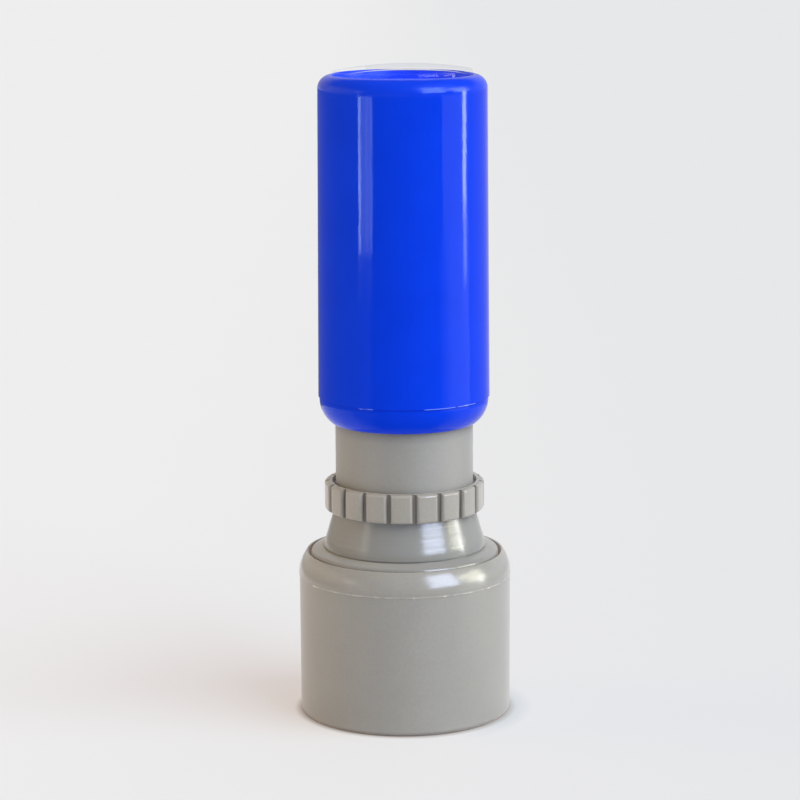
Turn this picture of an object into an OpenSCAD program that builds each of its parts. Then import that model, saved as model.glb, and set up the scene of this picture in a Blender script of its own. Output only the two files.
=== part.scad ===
// Round pre-inked hand stamp with a sprung plunger, a toothed depth ring and a dust cap.
// Every piece is turned about Z. The cap stands on z = 0 and the stamp stands in the cap.

/* [Stamp pad] */
// Diameter of the printing face
pad_d = 21.4; // [18:0.1:26]
// How far the printing face sits above the skirt's rim at rest
pad_recess = 4.4; // [3:0.1:5.5]
// How far the printing face passes the rim when the handle is pressed home
pad_bite = 0.2; // [0:0.05:0.5]
// How far the printing face stands out of its retaining ring
pad_relief = 0.6; // [0.3:0.05:1.2]
// Thickness of the wide back of the pad, which the retaining ring holds
pad_back = 2.5; // [1.5:0.1:4]
// Radial gap between the printing face and its retaining ring
pad_fit = 0.1; // [0.05:0.01:0.2]
// Wall of the pad's retaining ring
pad_ring_wall = 0.75; // [0.6:0.05:1.2]
// How deep the retaining ring reaches into the holder
pad_ring_depth = 1.7; // [1.2:0.1:3]
// Thickness of the retaining ring's flange
pad_ring_flange = 0.6; // [0.4:0.05:1]

/* [Pad holder] */
// Wall of the holder's cup
holder_wall = 1.0; // [0.8:0.05:1.5]
// Thickness of the holder's top plate
holder_top = 1.4; // [1:0.1:2.5]
// Radial gap between the holder and the skirt
holder_gap = 0.3; // [0.2:0.05:0.6]
// Outer diameter of the hollow post that carries the holder
post_d = 12; // [10:0.1:13]
// Wall of the post
post_wall = 1.5; // [1:0.1:2.5]
// Length of the solid head of the post, which takes the screw
post_head = 12; // [8:0.5:18]

/* [Base] */
// Height of the skirt from its rim to the outer edge of its shoulder
skirt_h = 21.75; // [18:0.05:26]
// Wall of the skirt
skirt_wall = 1.25; // [0.9:0.05:1.6]
// Width of the sloped shoulder outside the cone
shoulder_w = 1.85; // [1.2:0.05:2.2]
// Rise of the shoulder towards the cone
shoulder_rise = 0.45; // [0.4:0.05:1.4]
// Radius of the shoulder's outer edge
shoulder_round = 0.45; // [0.2:0.05:0.6]
// Height of the cone
cone_h = 5.8; // [4:0.1:8]
// Thickness of plastic between the holder's ceiling and the foot of the cone
ceiling_t = 2.2; // [1.5:0.1:3]
// Wall of the neck tube
neck_wall = 1.1; // [0.9:0.02:1.6]
// Length of the neck tube above the cone
neck_h = 33; // [28:0.5:36]
// Number of guide ribs inside the skirt
key_n = 2; // [2:1:4]
// Width of a guide rib
key_w = 1.2; // [0.8:0.1:2]
// How far a guide rib stands in from the skirt
key_h = 0.5; // [0.4:0.05:0.6]

/* [Adjusting ring] */
// Height of the ring
ring_h = 4.35; // [4.1:0.05:6]
// Number of grip teeth
ring_teeth = 19; // [12:1:24]
// Wall of the ring under its teeth
ring_wall = 0.88; // [0.8:0.02:1.4]
// Height of a tooth
tooth_h = 0.7; // [0.3:0.05:0.8]
// Width of the groove between two teeth
tooth_gap = 0.95; // [0.6:0.05:1.2]
// Radial gap between the ring and the neck
ring_fit = 0.1; // [0.05:0.01:0.2]
// Depth of the recess round the neck in the ring's top face
ring_lip_h = 0.8; // [0.6:0.05:1.2]
// Width of that recess
ring_lip_w = 0.45; // [0.35:0.05:0.6]
// How far the neck's snap bead stands out
bead_h = 0.25; // [0.2:0.05:0.3]
// Ledge on top of the cone that the ring rests on
ring_ledge = 0.26; // [0.2:0.02:0.5]
// Radius of the teeth's top and bottom edges
tooth_round = 0.25; // [0.1:0.05:0.4]
// Angle of the first gap between teeth
tooth_a = -7; // [-15:1:15]

/* [Depth stop] */
// How far the stop sleeve travels
stop_travel = 1.2; // [0.6:0.1:1.3]
// Turn of the ring that moves the sleeve through its travel
stop_turn = 150; // [90:5:160]
// Diameter of a guide pin
pin_d = 0.9; // [0.7:0.05:1]
// Gap round a guide pin in its slot and groove
pin_gap = 0.1; // [0.08:0.01:0.15]
// Depth of the spiral groove in the ring
groove_depth = 0.5; // [0.35:0.05:0.6]
// Wall of the stop sleeve
sleeve_wall = 2.8; // [2:0.1:3.5]
// Radial gap between the sleeve and the post
sleeve_gap = 0.3; // [0.2:0.05:0.5]
// Radial gap between the sleeve and the neck
sleeve_fit = 0.1; // [0.05:0.01:0.2]
// Length of the sleeve above its pins
sleeve_up = 4; // [3:0.1:5]
// Length of the sleeve below its pins
sleeve_down = 6; // [4:0.1:7]
// Wall of the plunger tube that meets the sleeve
tube_wall = 2.5; // [2:0.05:2.6]
// Thickness of the plunger tube's top flange
tube_flange = 2; // [1.5:0.1:3]

/* [Handle] */
// Length of neck that shows between the ring and the handle
neck_show = 9; // [7:0.1:11]
// Height of the handle
handle_h = 51.5; // [49:0.1:60]
// Wall of the handle at its parting line
handle_wall = 2.38; // [2:0.02:2.8]
// How much slimmer the handle is at the top, on the radius
handle_taper = 0.32; // [0:0.02:0.5]
// Radial gap between the handle and the neck
handle_fit = 0.15; // [0.1:0.01:0.25]
// Radius of the handle's top edge
handle_round = 2; // [1:0.1:2.2]
// Height of the parting line above the handle's lower edge
lip_h = 3.9; // [3.5:0.05:5]
// Step at the parting line
lip_step = 0.2; // [0.1:0.02:0.3]
// Straight stretch between the parting line and the rounded lower edge
lip_straight = 0.4; // [0.2:0.05:0.8]
// Width of the flat lower edge
lip_edge = 0.5; // [0.2:0.05:0.8]
// Thickness of plastic under the label recess
handle_top = 4.6; // [4:0.1:6]

/* [Label and lens] */
// Diameter of the lens
lens_d = 20.6; // [17:0.1:20.8]
// Radial gap round the lens
lens_fit = 0.05; // [0.03:0.01:0.1]
// Height of the lens's edge above the handle
lens_edge = 0.5; // [0.3:0.05:1]
// Height of the lens's dome above its edge
lens_dome = 1.1; // [0.6:0.05:2]
// Thickness of the lens
lens_t = 1; // [0.8:0.05:1.3]
// Depth of the recess for the label and the lens
recess_h = 1.5; // [1.3:0.05:1.8]
// Thickness of the label card
label_t = 0.3; // [0.2:0.05:0.4]

/* [Screw] */
// Diameter of the screw's shank
screw_d = 3; // [2.5:0.1:3.5]
// Diameter of the screw's head
screw_head_d = 5.6; // [5:0.1:6.5]
// Height of the screw's head
screw_head_h = 1.7; // [1.4:0.1:1.9]
// Length of the screw under its head
screw_l = 13; // [10:0.5:14]

/* [Return spring] */
// Diameter of the spring wire
wire_d = 1; // [0.8:0.05:1.1]
// Number of turns
spring_turns = 7; // [5:1:9]

/* [Dust cap] */
// Gap between the skirt and the cap's mouth
cap_gap = 0.4; // [0.35:0.05:0.9]
// Wall of the cap
cap_wall = 1.5; // [1.1:0.05:1.8]
// Thickness of the cap's floor
cap_floor = 1.6; // [1.2:0.1:2.5]
// Height of the seat above the floor, for the skirt's rim
cap_seat = 1.4; // [1:0.1:2]
// Gap under the skirt's rim
seat_gap = 0.1; // [0.05:0.01:0.2]
// Height of the cap's parting line
cap_part_h = 21.1; // [18:0.1:22]
// Height of the rounded shoulder above the parting line
cap_shoulder_h = 3.5; // [2.5:0.1:4.5]
// Width of the flat top of the lip
cap_lip_w = 0.3; // [0.25:0.05:0.4]
// Radius of the lip's edge
cap_lip_round = 0.2; // [0.1:0.02:0.25]
// How far the wall stands back under the parting line
cap_step = 0.12; // [0.05:0.01:0.25]
// How much slimmer the cap is at its foot, on the radius
cap_draft = 0.04; // [0:0.02:0.3]
// Radius of the foot's edge
foot_round = 0.8; // [0.5:0.05:1.2]
// Number of centring ribs in the cap
cap_rib_n = 6; // [3:1:10]
// Width of a centring rib
cap_rib_w = 1; // [0.6:0.1:2]
// Gap between the ribs and the skirt
cap_rib_gap = 0.12; // [0.08:0.01:0.2]

/* [Hidden] */
$fn = 96;
eps = 0.05;

GREY = [0.66, 0.65, 0.62];
DARK_GREY = [0.42, 0.42, 0.42];
BLUE = [0.03, 0.2, 0.9];
STEEL = [0.75, 0.76, 0.78];
INK = [0.12, 0.12, 0.3];
RUBBER = [0.25, 0.25, 0.28];

// Small gaps and seats inside the stamp
plate_gap = 0.1;
key_fit = 0.2;
key_a = 90;
ring_float = 0.05;
spring_float = 0.05;
post_fit = 0.05;
flange_gap = 0.25;
foam_gap = 0.05;
screw_gap = 0.2;
pin_seat = 1.5;
pad_round = 0.2;
drive_w = 0.8;

// Radii of the pad's pieces, from the printing face out to the cap
pad_r = pad_d / 2;
pad_ring_bore_r = pad_r + pad_fit;
holder_bore_r = pad_ring_bore_r + pad_ring_wall;
holder_r = holder_bore_r + holder_wall;
skirt_bore_r = holder_r + holder_gap;
skirt_r = skirt_bore_r + skirt_wall;
cone_low_r = skirt_r - shoulder_w;
cap_bore_r = skirt_r + cap_gap;
cap_r = cap_bore_r + cap_wall;

// Radii of the middle pieces, from the post out to the handle
post_r = post_d / 2;
tube_r = post_r + tube_wall;
sleeve_bore_r = post_r + sleeve_gap;
sleeve_r = sleeve_bore_r + sleeve_wall;
neck_bore_r = sleeve_r + sleeve_fit;
neck_r = neck_bore_r + neck_wall;
ring_bore_r = neck_r + ring_fit;
ring_root_r = ring_bore_r + ring_wall;
ring_tip_r = ring_root_r + tooth_h;
handle_bore_r = neck_r + handle_fit;
handle_r = handle_bore_r + handle_wall;
handle_top_r = handle_r - handle_taper;
screw_r = screw_d / 2;
screw_head_r = screw_head_d / 2;

// Heights in the cap and the base, from the table up
seat_z = cap_floor + cap_seat;
cap_top_z = cap_part_h + cap_shoulder_h;
rim_z = seat_z + seat_gap;
shoulder_z = rim_z + skirt_h;
cone_z = shoulder_z + shoulder_rise;
ceiling_z = cone_z - ceiling_t;
ring_z = cone_z + cone_h;
ring_top_z = ring_z + ring_h;
neck_top_z = ring_z + neck_h;

// The cap's shoulder is an arc that leaves the parting line upright and ends at the lip
cap_arc_in = cap_wall - cap_lip_w;
cap_arc_r = (pow(cap_arc_in, 2) + pow(cap_shoulder_h, 2)) / (2 * cap_arc_in);

// Heights in the plunger at rest, up from the pad and down from the handle's top
stroke = pad_recess + pad_bite;
pad_z = rim_z + pad_recess;
pad_ring_z = pad_z + pad_relief;
holder_rim_z = pad_ring_z + pad_ring_flange;
pad_back_z = holder_rim_z + pad_ring_depth;
reservoir_z = pad_back_z + pad_back;
holder_top_z = ceiling_z - plate_gap;
handle_z = ring_top_z + neck_show;
handle_top_z = handle_z + handle_h;
recess_z = handle_top_z - recess_h;
screw_z = recess_z - screw_head_h - screw_gap;
tube_top_z = recess_z - handle_top;
flange_z = tube_top_z - tube_flange;

// The depth stop: two pins ride in spiral grooves inside the ring
pin_r = pin_d / 2;
pin_way = pin_d + 2 * pin_gap;
groove_r = ring_bore_r + groove_depth;
groove_land = 0.3;
groove_steps = ceil(stop_turn / 6);
pin_tip_r = groove_r - pin_gap;
pin_z = ring_top_z - ring_lip_h - groove_land - pin_way / 2;
sleeve_top_z = pin_z + sleeve_up;
stop_gap = 0.05;
tube_z = sleeve_top_z + stroke + stop_gap;
PIN_ANGLES = [0, 180];

// The spring stands on the end of the neck and presses the plunger tube's flange up
spring_r = (neck_bore_r + neck_r) / 2;
wire_sides = 6;
wire_rings = 8;
close_pitch = 1.5;
wire_grind = 0.25;
spring_z = neck_top_z + wire_d * wire_grind;
wire_rise = flange_z - spring_float - neck_top_z - 2 * wire_d * wire_grind;

// The lens is a thin dome with a rim
lens_r = lens_d / 2;
lens_z = recess_z + label_t;
lens_edge_z = handle_top_z + lens_edge;
lens_sphere_r = (pow(lens_r, 2) + pow(lens_dome, 2)) / (2 * lens_dome);
lens_sphere_z = lens_edge_z + lens_dome - lens_sphere_r;

function unit(v) = v / norm(v);

// What rounding takes off the corner p of a flat outline, whose edges run towards a and b
module corner_bite(p, a, b, r) {
    u = unit(a - p);
    v = unit(b - p);
    half = acos(u * v) / 2;
    mid = unit(u + v);
    c = p + mid * r / sin(half);
    reach = r / tan(half);
    difference() {
        polygon([p - mid * eps, p + u * reach, c, p + v * reach]);
        translate(c)
            circle(r);
    }
}

// A rectangle in an outline, between two radii and two heights
module band(r0, r1, z0, z1) {
    translate([r0, z0])
        square([r1 - r0, z1 - z0]);
}

module bar(r, z0, z1) {
    translate([0, 0, z0])
        cylinder(r = r, h = z1 - z0);
}

module tube(r0, r1, z0, z1) {
    rotate_extrude()
        band(r0, r1, z0, z1);
}

// A block w wide at angle a, from radius r0 to r1
module radial_block(r0, r1, w, z0, z1, a) {
    rotate(a)
        translate([r0, -w / 2, z0])
            cube([r1 - r0, w, z1 - z0]);
}

// A solid through a list of rings of points, each ring with as many points as the first
module skin(rings) {
    m = len(rings[0]);
    n = len(rings);
    sides = [for (i = [0 : n - 2], j = [0 : m - 1], k = [0, 1])
        let (a = i * m + j, b = i * m + (j + 1) % m)
            k == 0 ? [a, b + m, b] : [a, a + m, b + m]];
    first = [for (j = [1 : m - 2]) [0, j, j + 1]];
    last = [for (j = [1 : m - 2]) [(n - 1) * m, (n - 1) * m + j + 1, (n - 1) * m + j]];
    polyhedron([for (ring = rings) each ring], concat(sides, first, last));
}

module dust_cap() {
    wall_r = cap_r - cap_step;
    foot_r = wall_r - cap_draft;
    rib_r = skirt_r + cap_rib_gap;
    color(GREY) {
        rotate_extrude()
            difference() {
                union() {
                    polygon([[0, 0], [foot_r, 0], [foot_r, foot_round], [wall_r, cap_part_h + eps],
                        [0, cap_part_h + eps]]);
                    intersection() {
                        band(0, cap_r, cap_part_h, cap_top_z);
                        translate([cap_r - cap_arc_r, cap_part_h])
                            circle(cap_arc_r);
                    }
                }
                band(-eps, cap_bore_r, seat_z, cap_top_z + eps);
                band(-eps, skirt_bore_r, cap_floor, seat_z + eps);
                corner_bite([foot_r, 0], [0, 0], [foot_r, cap_part_h], foot_round);
                corner_bite([cap_bore_r, cap_top_z], [cap_r, cap_top_z], [cap_bore_r, 0], cap_lip_round);
            }
        for (i = [0 : cap_rib_n - 1])
            difference() {
                radial_block(skirt_r, cap_bore_r + eps, cap_rib_w, seat_z - eps, cap_part_h,
                    i * 360 / cap_rib_n);
                bar(rib_r, seat_z - 2 * eps, cap_part_h + eps);
            }
    }
}

// The skirt, the shoulder, the cone and the neck are one moulding
module base_shell() {
    cone_top_r = neck_r + ring_ledge;
    bead_z = ring_top_z - ring_lip_h + ring_float;
    color(GREY)
        difference() {
            union() {
                rotate_extrude()
                    difference() {
                        polygon([[skirt_bore_r, rim_z], [skirt_r, rim_z], [skirt_r, shoulder_z],
                            [cone_low_r, cone_z], [cone_top_r, ring_z], [neck_r, ring_z],
                            [neck_r, bead_z], [neck_r + bead_h, bead_z], [neck_r, bead_z + 2 * bead_h],
                            [neck_r, neck_top_z], [neck_bore_r, neck_top_z], [neck_bore_r, ceiling_z],
                            [skirt_bore_r, ceiling_z]]);
                        corner_bite([skirt_r, shoulder_z], [skirt_r, rim_z], [cone_low_r, cone_z],
                            shoulder_round);
                    }
                for (i = [0 : key_n - 1])
                    radial_block(skirt_bore_r - key_h, skirt_bore_r + eps, key_w,
                        holder_rim_z + key_fit, ceiling_z + eps, key_a + i * 360 / key_n);
            }
            for (a = PIN_ANGLES)
                radial_block(neck_bore_r - 1, neck_r + 1, pin_way, pin_z - stop_travel - pin_way / 2,
                    pin_z + pin_way / 2, a);
        }
}

// One ring of the groove's square section, where t runs from 0 at the rest end to 1
function groove_ring(t, a) =
    let (turn = a - stop_turn * t, z = pin_z - stop_travel * t)
        [for (c = [[ring_bore_r - groove_depth, -1], [groove_r, -1], [groove_r, 1],
            [ring_bore_r - groove_depth, 1]])
                [c[0] * cos(turn), c[0] * sin(turn), z + c[1] * pin_way / 2]];

module adjusting_ring() {
    gap_r = tooth_gap / 2;
    over = (pin_way / 2) / (ring_bore_r * stop_turn * PI / 180);
    color(GREY)
        difference() {
            rotate_extrude()
                difference() {
                    band(ring_bore_r, ring_tip_r, ring_z + ring_float, ring_top_z);
                    band(ring_bore_r - eps, ring_bore_r + ring_lip_w, ring_top_z - ring_lip_h,
                        ring_top_z + eps);
                    corner_bite([ring_tip_r, ring_top_z], [0, ring_top_z], [ring_tip_r, 0], tooth_round);
                    corner_bite([ring_tip_r, ring_z + ring_float], [0, ring_z + ring_float],
                        [ring_tip_r, ring_top_z], tooth_round);
                }
            for (i = [0 : ring_teeth - 1])
                rotate(tooth_a + i * 360 / ring_teeth)
                    translate([ring_root_r + gap_r, 0, ring_z])
                        linear_extrude(ring_h + eps) {
                            circle(gap_r);
                            translate([0, -gap_r])
                                square([tooth_h + gap_r, tooth_gap]);
                        }
            for (a = PIN_ANGLES)
                skin([for (i = [0 : groove_steps])
                    groove_ring(-over + (1 + 2 * over) * i / groove_steps, a)]);
        }
}

module stop_sleeve() {
    color(DARK_GREY)
        difference() {
            tube(sleeve_bore_r, sleeve_r, pin_z - sleeve_down, sleeve_top_z);
            pins(sleeve_r + 1);
        }
}

// The pins stand in blind holes in the sleeve and reach out to radius tip_r
module pins(tip_r) {
    for (a = PIN_ANGLES)
        rotate(a)
            translate([sleeve_r - pin_seat, 0, pin_z])
                rotate([0, 90, 0])
                    cylinder(r = pin_r, h = tip_r - sleeve_r + pin_seat);
}

module guide_pins() {
    color(STEEL)
        pins(pin_tip_r);
}

// Height of the wire's centre after t turns: the end turns lie closer than the others
function wire_z(t) =
    let (end = wire_d * close_pitch, n = spring_turns, free = wire_rise - 2 * end, open = free / (n - 2))
        t < 1 ? end * t : t < n - 1 ? end + open * (t - 1) : end + free + end * (t - n + 1);

function wire_ring(t) =
    [for (k = [0 : wire_sides - 1])
        let (w = -360 * k / wire_sides, r = spring_r + wire_d / 2 * cos(w))
            [r * cos(360 * t), r * sin(360 * t), spring_z + wire_z(t) + wire_d / 2 * sin(w)]];

// The wire is one unbroken tube, ground flat at both ends
module return_spring() {
    rings = spring_turns * wire_rings;
    color(STEEL)
        intersection() {
            skin([for (i = [0 : rings]) wire_ring(i / wire_rings)]);
            tube(spring_r - wire_d, spring_r + wire_d, neck_top_z, flange_z - spring_float);
        }
}

module plunger_tube() {
    color(DARK_GREY)
        rotate_extrude() {
            band(post_r + post_fit, tube_r, tube_z, flange_z + eps);
            band(screw_r + screw_gap, handle_bore_r - flange_gap, flange_z, tube_top_z);
        }
}

// The cup that carries the pad, with the hollow post that hangs it from the handle
module pad_holder() {
    cup_top_z = holder_top_z - holder_top;
    color(DARK_GREY)
        difference() {
            rotate_extrude()
                difference() {
                    union() {
                        band(0, holder_r, holder_rim_z, holder_top_z);
                        band(0, post_r, holder_top_z - eps, flange_z);
                    }
                    band(-eps, holder_bore_r, holder_rim_z - eps, cup_top_z);
                    band(-eps, post_r - post_wall, cup_top_z - eps, flange_z - post_head);
                    band(-eps, screw_r, flange_z - post_head - eps, flange_z + eps);
                }
            for (i = [0 : key_n - 1])
                radial_block(skirt_bore_r - key_h - key_fit, skirt_r, key_w + 2 * key_fit,
                    holder_rim_z - eps, holder_top_z + eps, key_a + i * 360 / key_n);
        }
}

module ink_reservoir() {
    color(INK)
        bar(holder_bore_r - foam_gap, reservoir_z, holder_top_z - holder_top - foam_gap);
}

module stamp_pad() {
    color(RUBBER)
        rotate_extrude()
            difference() {
                union() {
                    band(0, pad_r, pad_z, pad_back_z + eps);
                    band(0, holder_bore_r - foam_gap, pad_back_z, reservoir_z);
                }
                corner_bite([pad_r, pad_z], [0, pad_z], [pad_r, pad_back_z], pad_round);
            }
}

module pad_ring() {
    color(DARK_GREY)
        rotate_extrude() {
            band(pad_ring_bore_r, holder_bore_r, holder_rim_z - eps, pad_back_z);
            band(pad_ring_bore_r, holder_r - pad_fit, pad_ring_z, holder_rim_z);
        }
}

module handle() {
    part_z = handle_z + lip_h;
    arc_h = lip_h - lip_straight;
    arc_in = handle_wall - lip_step - lip_edge;
    arc_r = (pow(arc_in, 2) + pow(arc_h, 2)) / (2 * arc_in);
    color(BLUE)
        rotate_extrude()
            difference() {
                union() {
                    polygon([[0, part_z], [handle_r, part_z], [handle_top_r, handle_top_z - handle_round],
                        [handle_top_r, handle_top_z], [0, handle_top_z]]);
                    band(0, handle_r - lip_step, part_z - lip_straight, part_z + eps);
                    intersection() {
                        band(0, handle_r, handle_z, part_z - lip_straight + eps);
                        translate([handle_r - lip_step - arc_r, part_z - lip_straight])
                            circle(arc_r);
                    }
                }
                band(-eps, handle_bore_r, handle_z - eps, tube_top_z);
                band(-eps, screw_r + screw_gap, tube_top_z - eps, recess_z + eps);
                band(-eps, screw_head_r + screw_gap, screw_z, recess_z + eps);
                band(-eps, lens_r + lens_fit, recess_z, handle_top_z + eps);
                corner_bite([handle_top_r, handle_top_z], [0, handle_top_z], [handle_top_r, 0], handle_round);
            }
}

module handle_screw() {
    color(STEEL)
        difference() {
            rotate_extrude() {
                band(0, screw_r, screw_z - screw_l, screw_z + eps);
                difference() {
                    band(0, screw_head_r, screw_z, screw_z + screw_head_h);
                    corner_bite([screw_head_r, screw_z + screw_head_h], [0, screw_z + screw_head_h],
                        [screw_head_r, screw_z], screw_head_h / 2);
                }
            }
            for (a = [0, 90])
                rotate(a)
                    translate([-screw_r, -drive_w / 2, screw_z + screw_head_h / 2])
                        cube([screw_d, drive_w, screw_head_h]);
        }
}

module label_card() {
    color(BLUE)
        bar(lens_r, recess_z, recess_z + label_t);
}

// Flat outline of a domed disc from height z0, as thick over the edge as the lens is
module dome(r, z0, edge_z, sphere_r) {
    band(0, r, z0, edge_z);
    intersection() {
        band(0, r, edge_z - eps, edge_z + 2 * lens_dome);
        translate([0, lens_sphere_z])
            circle(sphere_r, $fn = 4 * $fn);
    }
}

module lens_cap() {
    color([0.9, 0.93, 0.96, 0.5])
        rotate_extrude()
            difference() {
                dome(lens_r, lens_z, lens_edge_z, lens_sphere_r);
                dome(lens_r - lens_t, lens_z - eps, lens_edge_z - lens_t, lens_sphere_r - lens_t);
            }
}

dust_cap();
base_shell();
adjusting_ring();
stop_sleeve();
guide_pins();
return_spring();
plunger_tube();
pad_holder();
ink_reservoir();
stamp_pad();
pad_ring();
handle();
handle_screw();
label_card();
lens_cap();
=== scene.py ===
# Round pre-inked hand stamp: blue press handle, toothed depth ring, cone base and dust cap.
# Every length below is in millimetres until MM turns it into metres, unless its name ends in _M.
import math

import bmesh
import bpy
from mathutils import Matrix, Vector, noise


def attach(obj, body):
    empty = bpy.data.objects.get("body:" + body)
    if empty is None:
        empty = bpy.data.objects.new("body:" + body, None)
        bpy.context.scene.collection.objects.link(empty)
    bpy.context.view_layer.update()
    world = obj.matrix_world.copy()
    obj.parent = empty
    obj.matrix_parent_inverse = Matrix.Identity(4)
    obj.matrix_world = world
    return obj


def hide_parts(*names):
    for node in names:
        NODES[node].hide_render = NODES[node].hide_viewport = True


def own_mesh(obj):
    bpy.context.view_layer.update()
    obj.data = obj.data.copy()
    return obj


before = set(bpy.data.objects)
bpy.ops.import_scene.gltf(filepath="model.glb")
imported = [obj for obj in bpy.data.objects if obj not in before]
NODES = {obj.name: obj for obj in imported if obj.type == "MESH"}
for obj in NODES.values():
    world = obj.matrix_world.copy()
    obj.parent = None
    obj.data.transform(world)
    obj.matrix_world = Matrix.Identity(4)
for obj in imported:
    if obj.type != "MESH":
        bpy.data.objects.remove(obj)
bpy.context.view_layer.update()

MM = 0.001
TAU = 2 * math.pi

# Dust cap
CAP_R, CAP_WALL_R, CAP_FOOT_R, CAP_FOOT_ROUND = 15.97, 15.88, 15.84, 0.8
CAP_PART_Z = 21.1
CAP_ARC_R, CAP_ARC_CENTRE_R = 5.704, 10.266
CAP_LIP_Z, CAP_LIP_ROUND, CAP_BORE_R = 24.6, 0.2, 14.5
CAP_SEAT_Z, CAP_SEAT_R, CAP_SEAT_ROUND, CAP_FLOOR_Z, CAP_UNDER_R = 3.0, 12.85, 0.15, 1.6, 10.85
CAP_RIBS, CAP_RIB_R, CAP_RIB_HALF_DEG = 6, 14.22, 1.5
CAP_SEAM_PROUD, CAP_SEAM_DROP, CAP_SEAM_SEED = 0.03, 0.12, 3
# Pale seam stretches: partly the moulding fin's own tone, partly a painted highlight
CAP_SEAM_STRETCHES = [(-62, 75, 0.62), (110, 235, 0.5)]

# Base: skirt, shoulder, cone and neck
RIM_Z, RIM_ROUND, RIM_BORE_ROUND = 3.1, 0.2, 0.15
SKIRT_R, SKIRT_BORE_R, CEILING_Z = 14.1, 12.85, 23.1
SHOULDER_Z, SHOULDER_ROUND = 24.85, 0.45
FLANGE_R, FLANGE_ROUND, FLANGE_TURNED = 12.35, 0.1, 0.6
CONE_Z, CONE_TOP_R = 25.3, 10.56
CREASE_R, CREASE_Z, CREASE_TOP_R, CREASE_ROUND = 11.95, 25.52, 12.19, 0.06
RING_SEAT_Z, NECK_R, NECK_BORE_R, NECK_TOP_Z, NECK_ROUND = 31.1, 10.3, 9.2, 64.1, 0.2
BEAD_Z, BEAD_H = 34.7, 0.25
KEY_Z, KEY_R, KEY_HALF_DEG = 8.9, 12.35, 3
SLOT_LOW_Z, SLOT_HIGH_Z, SLOT_HALF_DEG = 32.05, 34.35, 3

# Depth ring
RING_Z, RING_TOP_Z = 31.15, 35.45
RING_BORE_R, RING_ROOT_R, RING_TIP_R = 10.4, 11.26, 11.98
RING_LIP_R, RING_LIP_Z, RING_LIP_ROUND = 10.83, 34.65, 0.1
GROOVE_R, GROOVE_Z, GROOVE_HALF = 10.9, 33.8, 0.55
GROOVE_TURN, GROOVE_FALL = 150, 1.2
TEETH, TOOTH_A, STEPS_PER_TOOTH, GAP_STEPS = 19, -7, 6, 1
TOOTH_ROUND, ROOT_ROUND, CRISP_DEG = 0.42, 0.18, 40
TOOTH_WEAR, TOOTH_WEAR_SIZE, TOOTH_WEAR_SEED = 0.04, 1.6, 19
TOP_WEAR, TOP_WEAR_SIZE, TOP_WEAR_SEED, TOP_WEAR_BAND = 0.1, 0.7, 23, 0.4
# Painted shade: radius where the darkening in the gaps between the teeth begins; it is full at the root
GAP_SHADE_R = RING_TIP_R - 0.12

# Handle
LIP_Z, LIP_BORE_R, LIP_BORE_ROUND = 44.45, 10.45, 0.12
LIP_ARC_R, LIP_ARC_CENTRE_R, LIP_ARC_Z = 4.486, 8.144, 47.95
PART_Z, PART_STEP = 48.35, 0.2
HANDLE_R, HANDLE_TOP_R, HANDLE_TOP_Z, HANDLE_ROUND = 12.8, 12.5, 95.95, 2.0
RECESS_R, RECESS_Z, RECESS_ROUND = 10.35, 94.45, 0.12
HEAD_HOLE_R, HEAD_HOLE_Z, HEAD_HOLE_ROUND = 3.0, 92.55, 0.1
SCREW_HOLE_R, INNER_TOP_Z = 1.7, 89.85
HANDLE_SEAM_PROUD, HANDLE_SEAM_DROP, HANDLE_SEAM_SEED = 0.03, 0.08, 7
# Pale seam stretches: partly the moulding fin's own tone, partly a painted highlight, strongest on the right
# front where the light falls
HANDLE_SEAM_STRETCHES = [(-35, -16, 0.72), (11, 56, 2.6), (120, 215, 0.5)]

# Lens over the label
LENS_R, LENS_Z, LENS_EDGE_Z, LENS_T = 10.28, 94.98, 96.55, 0.9
LENS_SPHERE_R, LENS_DOME_R, LENS_TILT_DEG = 56.9, 0.985 * LENS_R, 0.85
LENS_FOOT_ROUND, LENS_EDGE_ROUND, LENS_EDGE_W = 0.08, 0.12, 0.2
# Painted reflection: the far part of the lens top is tinted grey, from this point on the Y axis over this
# width
REFLECT_TINT_FROM_Y, REFLECT_TINT_W = -2, 6

# Spring
WIRE_R, SPRING_R, SPRING_Z, SPRING_TOP_Z = 0.5, 9.75, 64.1, 87.8
WIRE_GRIND, CLOSE_PITCH, OPEN_TURNS = 0.25, 1.5, 5
WIRE_SIDES, WIRE_STEPS = 14, 48

# Pad and ink foam
PAD_R, PAD_Z, PAD_STEP_Z, PAD_BACK_R, PAD_TOP_Z = 10.7, 7.5, 10.4, 11.5, 12.9
PAD_EDGE_W, PAD_EDGE_ROUND, PAD_STEP_ROUND = 0.8, 0.45, 0.2
PAD_FACE_WEAR, PAD_FACE_SIZE, PAD_FACE_SEED = 0.05, 2.4, 11
PAD_SIDE_WEAR, PAD_SIDE_SIZE, PAD_SIDE_SEED = 0.06, 1.8, 13
FOAM_R, FOAM_Z, FOAM_TOP_Z = 11.5, 12.9, 21.55
FOAM_EDGE_W, FOAM_ROUND = 1.2, 0.5
FOAM_WEAR, FOAM_WEAR_SIZE, FOAM_WEAR_SEED = 0.12, 2.2, 17

# Steps round a turned piece, and the width and raggedness of the mould seams
TURN_STEPS, SOFT_STEPS, SEAM_STEPS = 240, 96, 480
SEAM_W, SEAM_FADE_DEG = 0.14, 4
SEAM_FAINT, SEAM_FAINT_SIZE = 0.35, 7
SEAM_MEAN, SEAM_SWING, SEAM_SWING_SIZE = 0.66, 0.75, 0.9
SPECK_SIZE, SPECK_LEVEL, SPECK_FROM, SPECK_LEAST, SPECK_GAIN = 1.1, 0.36, 0.25, 0.4, 0.6

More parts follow.
